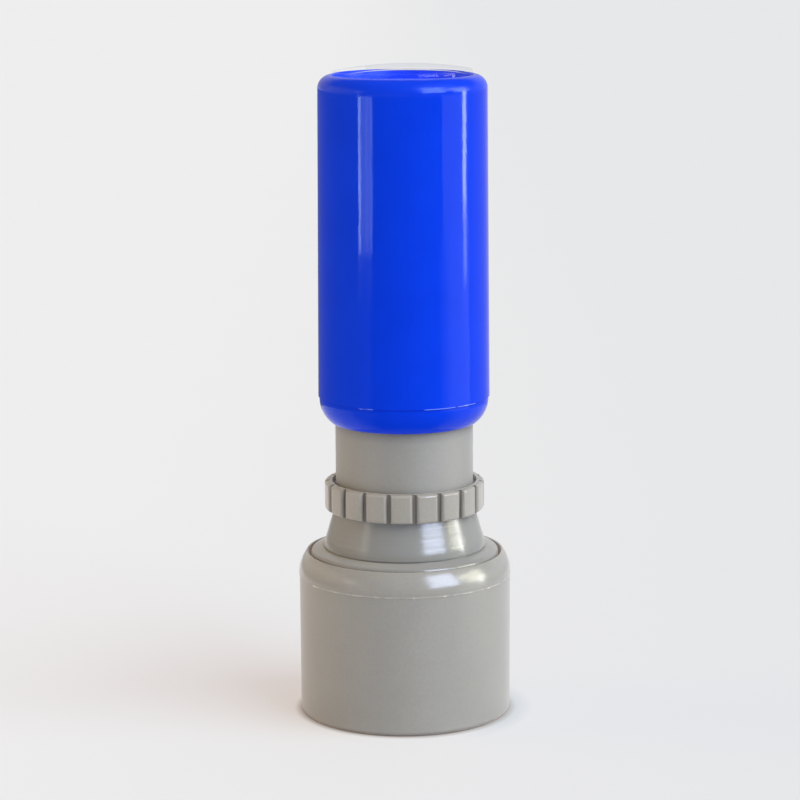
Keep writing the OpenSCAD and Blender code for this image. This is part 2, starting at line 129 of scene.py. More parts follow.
# How near counts as being at a height, on a wall, in a layer or on an edge, and as one point
NEAR_Z, NEAR_WALL, NEAR_LAYER, NEAR_EDGE, WELD = 0.01, 0.03, 0.05, 0.06, 0.0005

# Finishes
GRAIN_LOW, GRAIN_HIGH = 0.3, 0.7
# Painted light: colour and strength of the faint glow on the label and on the sunk wall under the lens
BLUE_GLOW, BLUE_GLOW_LEVEL = (0.02, 0.085, 1.0, 1), 0.18


class Outline:
    """Half of a section, drawn point by point in the XZ plane and then turned round the Z axis."""

    def __init__(self, r, z):
        self.bm = bmesh.new()
        self.first = self.last = self.bm.verts.new((r * MM, 0, z * MM))
        self.corners = []

    def to(self, r, z, ease=0):
        """A straight stretch to a point, whose corner is eased by that much along its two sides."""
        vert = self.bm.verts.new((r * MM, 0, z * MM))
        self.bm.edges.new((self.last, vert))
        if ease:
            self.corners.append((vert, ease))
        self.last = vert
        return self

    def steps(self, r, z, count):
        """A straight stretch in equal steps."""
        start = self.last.co.copy()
        end = Vector((r * MM, 0, z * MM))
        for i in range(1, count + 1):
            point = start.lerp(end, i / count) / MM
            self.to(point.x, point.z)
        return self

    def arc(self, centre_r, centre_z, degrees, count):
        """A round stretch about a centre, upwards from the outside where degrees is above zero."""
        made = bmesh.ops.spin(
            self.bm, geom=[self.last], cent=(centre_r * MM, 0, centre_z * MM),
            axis=(0, 1, 0), angle=-math.radians(degrees), steps=count)
        self.last = made["geom_last"][0]
        return self

    def close(self, ease=0):
        self.bm.edges.new((self.last, self.first))
        if ease:
            self.corners.append((self.first, ease))
        return self

    def turned(self, count=TURN_STEPS):
        """The whole piece, with its corners eased, turned round Z."""
        bm = self.bm
        for vert, ease in self.corners:
            bmesh.ops.bevel(
                bm, geom=[vert], offset=ease * MM, offset_type="OFFSET", affect="VERTICES",
                segments=2 if ease < 0.3 else 8, profile=0.5, material=-1)
        bmesh.ops.spin(
            bm, geom=bm.verts[:] + bm.edges[:], cent=(0, 0, 0), axis=(0, 0, 1), angle=TAU,
            steps=count, use_merge=True)
        clean(bm)
        return bm


def clean(bm):
    bmesh.ops.remove_doubles(bm, verts=bm.verts[:], dist=WELD * MM)
    bmesh.ops.recalc_face_normals(bm, faces=bm.faces[:])


def radius(point):
    return math.hypot(point.x, point.y) / MM


def degrees_of(point):
    return math.degrees(math.atan2(point.y, point.x))


def off_by(angle, target):
    """The smallest turn between two angles, in degrees."""
    return abs((angle - target + 180) % 360 - 180)


def wall_faces(bm, r, z0, z1, angles, half):
    """Upright faces of a wall at radius r between two heights, within half degrees of an angle."""
    found = []
    for face in bm.faces:
        mid = face.calc_center_median()
        if abs(radius(mid) - r) > NEAR_WALL or not z0 < mid.z / MM < z1 or abs(face.normal.z) > 0.3:
            continue
        if any(off_by(degrees_of(mid), a) < half for a in angles):
            found.append(face)
    return found


def set_radius(verts, r):
    for vert in verts:
        now = radius(vert.co)
        vert.co.x *= r / now
        vert.co.y *= r / now


def push_wall(bm, faces, r):
    """Draws part of a wall out or in to radius r, as a rib, a key or a tooth."""
    made = bmesh.ops.extrude_face_region(bm, geom=faces)
    bmesh.ops.delete(bm, geom=faces, context="FACES_ONLY")
    set_radius([v for v in made["geom"] if isinstance(v, bmesh.types.BMVert)], r)


def clamp(value):
    return min(1.0, max(0.0, value))


def ragged(point, size, seed):
    """Noise from -1 to 1 at a point, with features of that size in millimetres."""
    return noise.noise(point / (size * MM) + Vector((seed, 2.3 * seed, 5.1 * seed)))


def worn(point, depth, size, seed):
    """How much is worn off at a point, from nothing to that depth."""
    return depth * (0.5 + 0.5 * ragged(point, size, seed))


def flash_line(bm, r, z, proud, drop, seed, stretches):
    """A ragged moulding seam at (r, z), kept in a layer. It stands proud and hangs down most in the
    given stretches, each of two headings from the front and an amount."""
    # The layer also paints the seam pale in the finishes: partly the fin's own tone, partly a painted
    # highlight
    layer = bm.verts.layers.float.new("flash_and_highlight")
    for vert in bm.verts:
        if abs(radius(vert.co) - r) > SEAM_W / 3 or abs(vert.co.z / MM - z) > SEAM_W / 3:
            continue
        front = degrees_of(vert.co) + 90
        share = SEAM_FAINT * max(0.0, ragged(vert.co, SEAM_FAINT_SIZE, seed))
        for start, end, amount in stretches:
            inside = (end - start) / 2 - off_by(front, (start + end) / 2)
            share = max(share, amount * clamp(inside / SEAM_FADE_DEG))
        share *= SEAM_MEAN + SEAM_SWING * ragged(vert.co, SEAM_SWING_SIZE, seed + 1)
        speck = ragged(vert.co, SPECK_SIZE, seed + 2)
        if speck > SPECK_LEVEL and share > SPECK_FROM:
            share = max(share, SPECK_LEAST) + SPECK_GAIN
        vert[layer] = clamp(share)
        vert.co.z -= drop * vert[layer] * MM
        set_radius([vert], r + proud * vert[layer])


def finish_piece(bm, name, body, material, nodes, sharp=35, walls=False):
    """The mesh as a piece on its body. Where walls is true, long walls shade straight up to their edges."""
    mesh = bpy.data.meshes.new(name)
    bm.to_mesh(mesh)
    bm.free()
    mesh.shade_smooth()
    mesh.set_sharp_from_angle(angle=math.radians(sharp))
    mesh.materials.append(material)
    piece = bpy.data.objects.new(name, mesh)
    bpy.context.scene.collection.objects.link(piece)
    if walls:
        shading = piece.modifiers.new("wall_shading", "WEIGHTED_NORMAL")
        shading.keep_sharp = True
    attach(piece, body)
    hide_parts(*nodes)
    return piece


class Finish:
    """A plastic, steel or foam finish, built from noise on the piece's own coordinates."""

    def __init__(self, name, colour, roughness, ior=1.5):
        self.mat = bpy.data.materials.new(name)
        self.mat.use_nodes = True
        self.nodes = self.mat.node_tree.nodes
        self.links = self.mat.node_tree.links
        self.shader = self.nodes["Principled BSDF"]
        self.set("Base Color", (*colour, 1))
        self.set("Roughness", roughness)
        self.set("IOR", ior)
        self.where = self.nodes.new("ShaderNodeTexCoord").outputs["Object"]

    def set(self, socket, value):
        """A constant goes on the shader's own socket, and another node's output is linked to it."""
        if isinstance(value, bpy.types.NodeSocket):
            self.links.new(value, self.shader.inputs[socket])
        else:
            self.shader.inputs[socket].default_value = value

    def grain(self, size, detail, stretch=(1, 1, 1)):
        """Noise with features of about that size in millimetres, drawn out along an axis where stretch
        is below 1."""
        mapping = self.nodes.new("ShaderNodeMapping")
        mapping.inputs["Scale"].default_value = stretch
        self.links.new(self.where, mapping.inputs["Vector"])
        tex = self.nodes.new("ShaderNodeTexNoise")
        tex.inputs["Scale"].default_value = 1 / (size * MM)
        tex.inputs["Detail"].default_value = detail
        self.links.new(mapping.outputs["Vector"], tex.inputs["Vector"])
        return tex.outputs["Fac"]

    def along(self, axis):
        split = self.nodes.new("ShaderNodeSeparateXYZ")
        self.links.new(self.where, split.inputs["Vector"])
        return split.outputs[axis]

    def height(self):
        return self.along("Z")

    def share(self, layer):
        node = self.nodes.new("ShaderNodeAttribute")
        node.attribute_name = layer
        return node.outputs["Fac"]

    def span(self, value, from_low, from_high, to_low, to_high):
        node = self.nodes.new("ShaderNodeMapRange")
        self.links.new(value, node.inputs["Value"])
        for socket, number in zip(("From Min", "From Max", "To Min", "To Max"),
                                  (from_low, from_high, to_low, to_high)):
            if isinstance(number, bpy.types.NodeSocket):
                self.links.new(number, node.inputs[socket])
            else:
                node.inputs[socket].default_value = number
        return node.outputs["Result"]

    def spread(self, grain, low, high):
        """Noise, whose values keep near its middle, drawn out over a range."""
        return self.span(grain, GRAIN_LOW, GRAIN_HIGH, low, high)

    def blend(self, share, a, b):
        node = self.nodes.new("ShaderNodeMix")
        node.data_type = "RGBA"
        ends = [s for s in node.inputs if s.type == "RGBA"]
        self.links.new(share, node.inputs["Factor"])
        for socket, value in zip(ends, (a, b)):
            if isinstance(value, bpy.types.NodeSocket):
                self.links.new(value, socket)
            else:
                socket.default_value = (*value, 1)
        return next(s for s in node.outputs if s.type == "RGBA")

    def relief(self, value, depth, below=None, amount=None):
        """Bump of that depth in millimetres, on top of an earlier one, as strong as amount where one
        is given."""
        node = self.nodes.new("ShaderNodeBump")
        node.inputs["Strength"].default_value = 1
        node.inputs["Distance"].default_value = depth * MM
        if amount is not None:
            self.links.new(amount, node.inputs["Strength"])
        self.links.new(value, node.inputs["Height"])
        if below is not None:
            self.links.new(below, node.inputs["Normal"])
        return node.outputs["Normal"]


def grey_plastic(name, light, dark, matte, gloss=None, gloss_z=None):
    """Moulded grey plastic with faint mottling, glossier above a height where one is given."""
    f = Finish(name, light, matte)
    cloud = f.grain(5, 3)
    tone = f.blend(f.spread(cloud, 0, 1), dark, light)
    speck = f.span(f.grain(0.35, 2), 0.66, 0.8, 0, 0.35)
    tone = f.blend(speck, tone, tuple(1.25 * c for c in light))
    fine = f.spread(f.grain(0.4, 2), 0, 0.3)
    f.set("Base Color", f.blend(fine, tone, tuple(0.85 * c for c in dark)))
    skin = f.grain(0.12, 2)
    rough = f.spread(skin, matte - 0.05, matte + 0.05)
    if gloss is not None:
        low, high = gloss_z
        amount = f.span(f.height(), low * MM, high * MM, 0, 1)
        smooth = f.spread(cloud, gloss - 0.03, gloss + 0.04)
        rough = f.span(amount, 0, 1, rough, smooth)
    f.set("Roughness", rough)
    normal = f.relief(skin, 0.003)
    normal = f.relief(f.grain(7, 1), 0.03, normal)
    f.set("Normal", normal)
    f.set("Sheen Weight", 0.8)
    f.set("Sheen Roughness", 0.34)
    return f


def cap_finish():
    f = grey_plastic("cap_grey_moulded", (0.362, 0.359, 0.348), (0.344, 0.341, 0.331), 0.42,
                     0.17, (CAP_PART_Z - 0.05, CAP_PART_Z + 0.25))
    bare = f.shader.inputs["Base Color"].links[0].from_socket
    # Pale seam: partly the fin's own tone, partly a painted highlight
    flash_and_highlight = f.span(f.share("flash_and_highlight"), 0.1, 1.0, 0, 0.9)
    f.set("Base Color", f.blend(flash_and_highlight, bare, (0.80, 0.78, 0.72)))
    # Painted light: a faint warm glow on the bore's upper wall, for light coming through the plastic there
    f.set("Emission Color", (1.0, 0.60, 0.34, 1))
    f.set("Emission Strength", f.span(f.share("thin"), 0, 1, 0, 0.09))
    return f.mat


def base_finish():
    f = grey_plastic("base_grey_moulded", (0.341, 0.341, 0.332), (0.325, 0.325, 0.317), 0.44)
    bare = f.shader.inputs["Base Color"].links[0].from_socket
    cone = f.share("turned")
    # Painted shade: the neck darkens just under the handle's lip; it stays on the base when the handle goes
    # down
    shade = f.span(f.height(), (LIP_Z - 1.7) * MM, LIP_Z * MM, 0, 0.5)
    neck = f.blend(shade, bare, (0.14, 0.14, 0.145))
    f.set("Base Color", f.blend(cone, neck, (0.284, 0.290, 0.290)))
    marks = f.grain(1.4, 2, (0.05, 0.05, 3))
    f.set("Specular IOR Level", f.span(cone, 0, 1, 0.5, f.spread(marks, 0.34, 0.64)))
    smooth = f.shader.inputs["Normal"].links[0].from_socket
    f.set("Normal", f.relief(f.grain(1.6, 3, (0.12, 0.12, 8)), 0.018, smooth, cone))
    glossy = f.span(f.height(), (RING_SEAT_Z - 0.1) * MM, RING_SEAT_Z * MM, 0.17, 0.46)
    f.set("Roughness", glossy)
    return f.mat


def ring_finish():
    f = grey_plastic("ring_grey_moulded", (0.415, 0.402, 0.380), (0.393, 0.380, 0.358), 0.20)
    bare = f.shader.inputs["Base Color"].links[0].from_socket
    # Painted shade: the gaps between the teeth are darkened, most at the root
    gap_shade = f.span(f.share("gap_shade"), 0.1, 0.9, 0, 0.7)
    f.set("Base Color", f.blend(gap_shade, bare, (0.17, 0.16, 0.145)))
    return f.mat


def inner_finish():
    return grey_plastic("inner_grey_moulded", (0.150, 0.150, 0.150), (0.130, 0.130, 0.130), 0.5).mat


def blue_finish():
    f = Finish("handle_blue_gloss", (0.0030, 0.047, 0.82), 0.08, 1.30)
    f.set("Specular Tint", (0.70, 0.94, 1.0, 1))
    cloud = f.spread(f.grain(6, 2), 0, 1)
    tone = f.blend(cloud, (0.0027, 0.045, 0.80), (0.0033, 0.049, 0.84))
    # Pale seam: partly the fin's own tone, partly a painted highlight
    flash_and_highlight = f.span(f.share("flash_and_highlight"), 0.35, 0.75, 0, 0.75)
    f.set("Base Color", f.blend(flash_and_highlight, tone, (0.22, 0.34, 0.95)))
    # Painted light: the sunk wall under the lens glows faintly blue
    f.set("Emission Color", BLUE_GLOW)
    f.set("Emission Strength", f.span(f.share("recess"), 0, 1, 0, BLUE_GLOW_LEVEL))
    rub = f.span(f.grain(0.5, 4, (1, 1, 0.15)), 0.3, 0.75, 0.05, 0.11)
    round_z = HANDLE_TOP_Z - HANDLE_ROUND
    f.set("Roughness", f.span(f.height(), round_z * MM, (round_z + 0.6) * MM, rub, 0.24))
    normal = f.relief(f.grain(9, 1), 0.05)
    normal = f.relief(f.grain(1.1, 2, (1, 1, 0.3)), 0.006, normal)
    normal = f.relief(f.grain(0.25, 2), 0.002, normal)
    f.set("Normal", normal)
    return f.mat


def label_finish():
    f = Finish("label_blue_card", (0.003, 0.05, 0.95), 0.5)
    fibre = f.spread(f.grain(0.3, 3), 0, 1)
    f.set("Base Color", f.blend(fibre, (0.0022, 0.047, 0.92), (0.0034, 0.055, 0.98)))
    # Painted light: the label glows faintly blue under the lens
    f.set("Emission Color", BLUE_GLOW)
    f.set("Emission Strength", BLUE_GLOW_LEVEL)
    f.set("Normal", f.relief(f.grain(0.15, 2), 0.006))
    return f.mat


def lens_finish():
    f = Finish("lens_clear", (0.965, 0.97, 0.98), 0.03, 1.001)
    # Painted reflection: the far part of the dome is tinted grey, for the pale sheen the clear dome shows
    f.set("Base Color", f.blend(f.share("reflect_tint"), (0.975, 0.98, 0.985), (0.78, 0.80, 0.85)))
    f.set("Transmission Weight", 1.0)
    f.set("Coat Weight", f.span(f.share("edge"), 0, 1, 0.02, 0.3))
    f.set("Coat IOR", 1.49)
    f.set("Coat Roughness", 0.04)
    f.set("Roughness", f.span(f.grain(0.8, 3), 0.35, 0.75, 0.02, 0.08))
    f.set("Coat Normal", f.relief(f.grain(4, 1), 0.02))
    return f.mat


def steel_finish():
    f = Finish("steel_drawn", (0.62, 0.62, 0.63), 0.28)
    f.set("Metallic", 1.0)
    drawn = f.grain(0.3, 3, (1, 1, 0.2))
    f.set("Base Color", f.blend(f.spread(drawn, 0, 1), (0.56, 0.56, 0.57), (0.68, 0.68, 0.69)))
    f.set("Roughness", f.spread(drawn, 0.22, 0.36))
    f.set("Normal", f.relief(drawn, 0.002))
    return f.mat


def foam_finish(name, light, dark, pore, depth):
    f = Finish(name, light, 0.85)
    cell = f.nodes.new("ShaderNodeTexVoronoi")
    cell.inputs["Scale"].default_value = 1 / (pore * MM)
    f.links.new(f.where, cell.inputs["Vector"])
    open_cell = f.span(cell.outputs["Distance"], 0.1, 0.6, 0, 1)
    f.set("Base Color", f.blend(open_cell, dark, light))
    f.set("Roughness", f.spread(f.grain(1.5, 3), 0.7, 0.95))
    f.set("Normal", f.relief(open_cell, depth))
    return f.mat


def make_dust_cap(material):
    arc = math.degrees(math.asin((CAP_LIP_Z - CAP_PART_Z) / CAP_ARC_R))
    first = math.degrees(1.5 * SEAM_W / CAP_ARC_R)
    outline = Outline(0, 0).to(CAP_UNDER_R, 0).to(CAP_FOOT_R, 0, CAP_FOOT_ROUND)
    outline.steps(CAP_WALL_R, CAP_PART_Z - 2 * SEAM_W, 6).to(CAP_WALL_R, CAP_PART_Z - SEAM_W)
    outline.to(CAP_R, CAP_PART_Z).arc(CAP_ARC_CENTRE_R, CAP_PART_Z, first, 1)
    outline.arc(CAP_ARC_CENTRE_R, CAP_PART_Z, arc - first, 14)
    outline.to(CAP_BORE_R, CAP_LIP_Z, CAP_LIP_ROUND).to(CAP_BORE_R, CAP_PART_Z).to(CAP_BORE_R, CAP_SEAT_Z)
    outline.to(CAP_SEAT_R, CAP_SEAT_Z, CAP_SEAT_ROUND).to(CAP_SEAT_R, CAP_FLOOR_Z).to(0, CAP_FLOOR_Z)
    bm = outline.turned(SEAM_STEPS)
    places = [i * 360 / CAP_RIBS for i in range(CAP_RIBS)]
    ribs = wall_faces(bm, CAP_BORE_R, CAP_SEAT_Z, CAP_PART_Z, places, CAP_RIB_HALF_DEG)
    push_wall(bm, ribs, CAP_RIB_R)
    flash_line(bm, CAP_R, CAP_PART_Z, CAP_SEAM_PROUD, CAP_SEAM_DROP, CAP_SEAM_SEED, CAP_SEAM_STRETCHES)
    # Layer of painted light: the bore's upper wall, which glows faintly warm
    thin = bm.verts.layers.float.new("thin")
    for vert in bm.verts:
        upper = CAP_PART_Z - 0.1 < vert.co.z / MM < CAP_LIP_Z - 0.1
        vert[thin] = 1.0 if upper and radius(vert.co) < CAP_BORE_R + NEAR_LAYER else 0.0
    finish_piece(bm, "dust_cap_moulding", "cap", material, ["dust_cap"], walls=True)


def make_base(material):
    outline = Outline(SKIRT_BORE_R, RIM_Z).to(SKIRT_R, RIM_Z, RIM_ROUND)
    outline.to(SKIRT_R, SHOULDER_Z, SHOULDER_ROUND).to(FLANGE_R, CONE_Z, FLANGE_ROUND).to(CREASE_R, CONE_Z)
    outline.to(CREASE_R, CREASE_Z).to(CREASE_TOP_R, CREASE_Z, CREASE_ROUND).steps(CONE_TOP_R, RING_SEAT_Z, 4)
    outline.to(NECK_R, RING_SEAT_Z).to(NECK_R, SLOT_LOW_Z).to(NECK_R, SLOT_HIGH_Z).to(NECK_R, BEAD_Z)
    outline.to(NECK_R + BEAD_H, BEAD_Z).to(NECK_R, BEAD_Z + 2 * BEAD_H).steps(NECK_R, NECK_TOP_Z - 1, 6)
    outline.to(NECK_R, NECK_TOP_Z, NECK_ROUND).to(NECK_BORE_R, NECK_TOP_Z, NECK_ROUND)
    outline.to(NECK_BORE_R, SLOT_HIGH_Z).to(NECK_BORE_R, SLOT_LOW_Z).to(NECK_BORE_R, CEILING_Z)
    outline.to(SKIRT_BORE_R, CEILING_Z).to(SKIRT_BORE_R, KEY_Z).close(RIM_BORE_ROUND)
    bm = outline.turned()
    push_wall(bm, wall_faces(bm, SKIRT_BORE_R, KEY_Z, CEILING_Z, [90, 270], KEY_HALF_DEG), KEY_R)
    for angle in (0, 180):
        cut = wall_faces(bm, NECK_R, SLOT_LOW_Z, SLOT_HIGH_Z, [angle], SLOT_HALF_DEG)
        cut += wall_faces(bm, NECK_BORE_R, SLOT_LOW_Z, SLOT_HIGH_Z, [angle], SLOT_HALF_DEG)
        edges = {e for f in cut for e in f.edges}
        bmesh.ops.delete(bm, geom=cut, context="FACES_ONLY")
        bmesh.ops.delete(bm, geom=[e for e in edges if e.is_wire], context="EDGES")
        rim = [e for e in edges if e.is_valid and e.is_boundary]
        bmesh.ops.bridge_loops(bm, edges=rim)
    clean(bm)
    turned = bm.verts.layers.float.new("turned")
    for vert in bm.verts:
        if CREASE_Z - NEAR_Z < vert.co.z / MM < RING_SEAT_Z + NEAR_Z:
            vert[turned] = 1.0
        elif SHOULDER_Z - SHOULDER_ROUND < vert.co.z / MM < CREASE_Z:
            vert[turned] = FLANGE_TURNED
    finish_piece(bm, "base_moulding", "base", material, ["base_shell"], walls=True)


def groove_drop(angle):
    """How far the cam groove has fallen at an angle, with a quick return between its two halves."""
    run = (-angle) % 180
    share = run / GROOVE_TURN if run <= GROOVE_TURN else (180 - run) / (180 - GROOVE_TURN)
    return GROOVE_FALL * share


def make_ring(material):
    outline = Outline(RING_BORE_R, RING_Z).to(RING_ROOT_R, RING_Z).to(RING_ROOT_R, RING_TOP_Z)
    outline.to(RING_LIP_R, RING_TOP_Z, RING_LIP_ROUND).to(RING_LIP_R, RING_LIP_Z).to(RING_BORE_R, RING_LIP_Z)
    outline.to(RING_BORE_R, GROOVE_Z + GROOVE_HALF).to(GROOVE_R, GROOVE_Z + GROOVE_HALF)
    outline.to(GROOVE_R, GROOVE_Z - GROOVE_HALF).to(RING_BORE_R, GROOVE_Z - GROOVE_HALF).close()
    bm = outline.turned(TEETH * STEPS_PER_TOOTH)
    pitch = 360 / TEETH
    first = math.radians(TOOTH_A - pitch * GAP_STEPS / STEPS_PER_TOOTH / 2)
    bmesh.ops.rotate(bm, verts=bm.verts[:], matrix=Matrix.Rotation(first, 3, "Z"))
    for vert in bm.verts:
        r, z = radius(vert.co), vert.co.z / MM
        if r < GROOVE_R + NEAR_Z and abs(z - GROOVE_Z) < GROOVE_HALF + NEAR_Z:
            vert.co.z -= groove_drop(degrees_of(vert.co)) * MM
    mids = [TOOTH_A + pitch * (i + 0.5) for i in range(TEETH)]
    half = pitch / 2 * (1 - GAP_STEPS / STEPS_PER_TOOTH)
    teeth = wall_faces(bm, RING_ROOT_R, RING_Z, RING_TOP_Z, mids, half)
    push_wall(bm, teeth, RING_TIP_R)
    clean(bm)
    for reach, ease in ((RING_TIP_R, TOOTH_ROUND), (RING_ROOT_R, ROOT_ROUND)):
        crisp = [e for e in bm.edges if e.calc_face_angle(0) > math.radians(CRISP_DEG)
                 and abs(radius((e.verts[0].co + e.verts[1].co) / 2) - reach) < NEAR_EDGE]
        bmesh.ops.bevel(
            bm, geom=crisp, offset=ease * MM, offset_type="OFFSET", affect="EDGES", segments=5,
            profile=0.5, material=-1, clamp_overlap=True)
        clean(bm)
    # Layer of painted shade in the gaps between the teeth, full at the root
    gap_shade = bm.verts.layers.float.new("gap_shade")
    for vert in bm.verts:
        r = radius(vert.co)
        if r > RING_ROOT_R + 0.2:
            set_radius([vert], r - worn(vert.co, TOOTH_WEAR, TOOTH_WEAR_SIZE, TOOTH_WEAR_SEED))
            if vert.co.z / MM > RING_TOP_Z - TOP_WEAR_BAND:
                vert.co.z -= worn(vert.co, TOP_WEAR, TOP_WEAR_SIZE, TOP_WEAR_SEED) * MM
        if r > RING_LIP_R + RING_LIP_ROUND:
            vert[gap_shade] = clamp((GAP_SHADE_R - r) / (GAP_SHADE_R - RING_ROOT_R))
    finish_piece(bm, "depth_ring", "ring", material, ["adjusting_ring"], walls=True)


def make_handle(material):
    lip = math.degrees(math.asin((LIP_ARC_Z - LIP_Z) / LIP_ARC_R))
    edge_r = LIP_ARC_CENTRE_R + LIP_ARC_R * math.cos(math.radians(lip))
    outline = Outline(LIP_BORE_R, LIP_Z).to(edge_r, LIP_Z)
    outline.arc(LIP_ARC_CENTRE_R, LIP_ARC_Z, lip, 16)
    outline.to(HANDLE_R - PART_STEP, PART_Z - 0.5 * SEAM_W).to(HANDLE_R, PART_Z)
    outline.to(HANDLE_R, PART_Z + SEAM_W).to(HANDLE_R, PART_Z + 2 * SEAM_W)
    outline.steps(HANDLE_TOP_R, HANDLE_TOP_Z - HANDLE_ROUND - 0.5, 10)
    outline.to(HANDLE_TOP_R, HANDLE_TOP_Z, HANDLE_ROUND).to(RECESS_R, HANDLE_TOP_Z, RECESS_ROUND)
    outline.to(RECESS_R, RECESS_Z).to(HEAD_HOLE_R, RECESS_Z, HEAD_HOLE_ROUND).to(HEAD_HOLE_R, HEAD_HOLE_Z)
    outline.to(SCREW_HOLE_R, HEAD_HOLE_Z).to(SCREW_HOLE_R, INNER_TOP_Z)
    outline.to(LIP_BORE_R, INNER_TOP_Z).close(LIP_BORE_ROUND)
    bm = outline.turned(SEAM_STEPS)
    flash_line(bm, HANDLE_R, PART_Z, HANDLE_SEAM_PROUD, HANDLE_SEAM_DROP, HANDLE_SEAM_SEED,
               HANDLE_SEAM_STRETCHES)
    # Layer of painted light: the sunk wall under the lens, which glows faintly
    recess = bm.verts.layers.float.new("recess")
    for vert in bm.verts:
        sunk = RECESS_Z - NEAR_LAYER < vert.co.z / MM < HANDLE_TOP_Z - NEAR_LAYER
        vert[recess] = 1.0 if sunk and radius(vert.co) < RECESS_R + NEAR_LAYER else 0.0
    finish_piece(bm, "press_handle", "plunger", material, ["handle"], walls=True)


def make_lens(material):
    inner_r = LENS_R - LENS_T
    centre_z = LENS_EDGE_Z - math.sqrt(LENS_SPHERE_R ** 2 - LENS_R ** 2)
    inner_sphere = LENS_SPHERE_R - LENS_T
    inner_reach = math.degrees(math.asin(inner_r / inner_sphere))
    inner_edge_z = centre_z + math.sqrt(inner_sphere ** 2 - inner_r ** 2)
    outline = Outline(inner_r, LENS_Z).to(LENS_R, LENS_Z, LENS_FOOT_ROUND)
    outline.to(LENS_R, LENS_EDGE_Z, LENS_EDGE_ROUND)
    outline.to(LENS_DOME_R, centre_z + math.sqrt(LENS_SPHERE_R ** 2 - LENS_DOME_R ** 2))
    outline.arc(0, centre_z, math.degrees(math.asin(LENS_DOME_R / LENS_SPHERE_R)), 24)
    bm = outline.bm
    inside = bm.verts.new((inner_r * MM, 0, inner_edge_z * MM))
    bm.edges.new((outline.first, inside))
    bmesh.ops.spin(bm, geom=[inside], cent=(0, 0, centre_z * MM), axis=(0, 1, 0),
                   angle=-math.radians(inner_reach), steps=20)
    bm = outline.turned()
    tilt = Matrix.Rotation(-math.radians(LENS_TILT_DEG), 3, "Y")
    bmesh.ops.rotate(bm, verts=bm.verts[:], cent=(0, 0, LENS_EDGE_Z * MM), matrix=tilt)
    edge = bm.verts.layers.float.new("edge")
    # Layer of painted reflection over the far part of the dome's top
    reflect_tint = bm.verts.layers.float.new("reflect_tint")
    for vert in bm.verts:
        top = vert.co.z / MM > LENS_EDGE_Z - LENS_EDGE_W
        outer = radius(vert.co) > LENS_R - LENS_EDGE_W
        vert[edge] = 1.0 if top and outer and vert.co.y < 0 else 0.0
        vert[reflect_tint] = clamp((vert.co.y / MM - REFLECT_TINT_FROM_Y) / REFLECT_TINT_W) if top else 0.0
    lens = finish_piece(bm, "label_lens", "plunger", material, ["lens_cap"])
    lens.visible_shadow = False


def make_spring(material):
    bm = bmesh.new()
    start_z = SPRING_Z + WIRE_GRIND * 2 * WIRE_R
    rise = SPRING_TOP_Z - SPRING_Z - 4 * WIRE_GRIND * WIRE_R
    open_pitch = (rise - 2 * CLOSE_PITCH) / OPEN_TURNS
    place = Matrix.Translation((SPRING_R * MM, 0, start_z * MM)) @ Matrix.Rotation(math.pi / 2, 4, "X")
    made = bmesh.ops.create_circle(bm, cap_ends=False, segments=WIRE_SIDES, radius=WIRE_R * MM, matrix=place)
    ring = made["verts"]
    section = ring + list({e for v in ring for e in v.link_edges})
    for turns, pitch in ((1, CLOSE_PITCH), (OPEN_TURNS, open_pitch), (1, CLOSE_PITCH)):
        made = bmesh.ops.spin(
            bm, geom=section, cent=(0, 0, 0), axis=(0, 0, 1), dvec=(0, 0, pitch * MM / WIRE_STEPS),
            angle=TAU * turns, steps=WIRE_STEPS * turns)
        section = made["geom_last"]
    clean(bm)
    for z, up in ((SPRING_Z, -1), (SPRING_TOP_Z, 1)):
        bmesh.ops.bisect_plane(
            bm, geom=bm.verts[:] + bm.edges[:] + bm.faces[:], plane_co=(0, 0, z * MM),
            plane_no=(0, 0, up), clear_outer=True)
    bmesh.ops.holes_fill(bm, edges=[e for e in bm.edges if e.is_boundary], sides=0)
    bmesh.ops.recalc_face_normals(bm, faces=bm.faces[:])
    spring = finish_piece(bm, "coil_spring", "base", material, ["return_spring"])
    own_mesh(spring)


def make_pad(material):
    outline = Outline(0, PAD_Z).steps(PAD_R - PAD_EDGE_W, PAD_Z, 10).to(PAD_R, PAD_Z + 0.05, PAD_EDGE_ROUND)
    outline.steps(PAD_R, PAD_STEP_Z, 3).to(PAD_BACK_R, PAD_STEP_Z, PAD_STEP_ROUND)
    outline.to(PAD_BACK_R, PAD_TOP_Z, PAD_STEP_ROUND).steps(0, PAD_TOP_Z, 8)
    bm = outline.turned(SOFT_STEPS)
    for vert in bm.verts:
        r = radius(vert.co)
        if vert.co.z / MM < PAD_Z + 0.02:
            vert.co.z += worn(vert.co, PAD_FACE_WEAR, PAD_FACE_SIZE, PAD_FACE_SEED) * MM
        elif r > PAD_R - 0.1 and PAD_Z + 0.5 < vert.co.z / MM < PAD_TOP_Z - 0.3:
            set_radius([vert], r - worn(vert.co, PAD_SIDE_WEAR, PAD_SIDE_SIZE, PAD_SIDE_SEED))
    pad = finish_piece(bm, "printing_pad", "plunger", material, ["stamp_pad"], 60)


